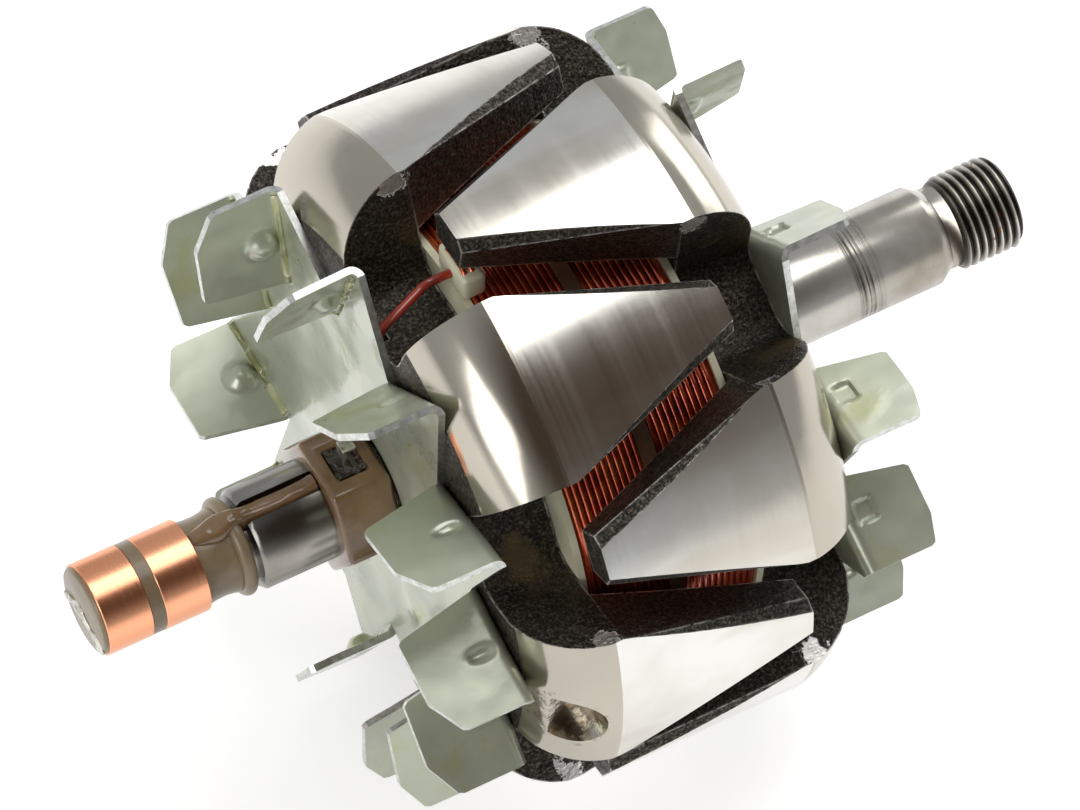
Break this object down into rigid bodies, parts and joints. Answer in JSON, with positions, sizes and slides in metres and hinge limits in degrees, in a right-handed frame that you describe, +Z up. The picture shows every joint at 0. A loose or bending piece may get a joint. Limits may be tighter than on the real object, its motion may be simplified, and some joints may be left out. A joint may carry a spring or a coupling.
{
  "type": "alternator rotor",
  "caption": "Claw-pole alternator rotor: shaft with threaded drive end, interleaved tapered poles over a field winding, a stamped fan at each side and slip rings.",
  "frame": {"origin": "on the shaft's axis, at the middle of the drive-end bearing seat", "axes": "+X along the shaft towards the pulley thread, slip rings at -X, +Z up when the rotor lies down"},
  "size_m": [0.1673, 0.115, 0.115],
  "materials": {
    "ground_steel": "ground",
    "forged_steel": "forged black, turned bright outside",
    "cream_nylon": "satin",
    "enamelled_wire": "glossy enamel",
    "brown_tape": "matte",
    "zinc_plated_sheet": "plated, varnished",
    "ring_copper": "polished copper",
    "tan_moulding": "satin",
    "brown_moulding": "glossy",
    "tinned_metal": "dull",
    "red_lead": "glossy"
  },
  "bodies": {
    "root": {"bobbin": "cream_nylon", "coil_tape": "brown_tape", "conductor_strip_a": "brown_moulding", "conductor_strip_b": "brown_moulding", "drive_end_fan": "zinc_plated_sheet", "drive_end_pole": "forged_steel", "field_coil": "enamelled_wire", "inner_slip_ring": "ring_copper", "lead_a": "red_lead", "lead_b": "red_lead", "lead_clip_a": "cream_nylon", "lead_clip_b": "cream_nylon", "outer_slip_ring": "ring_copper", "ring_insulator": "tan_moulding", "shaft": "ground_steel", "slip_ring_end_fan": "zinc_plated_sheet", "slip_ring_end_pole": "forged_steel", "terminal_collar": "brown_moulding", "terminal_hook_a": "tinned_metal", "terminal_hook_b": "tinned_metal", "tip_contact": "tinned_metal"}
  },
  "joints": []
}
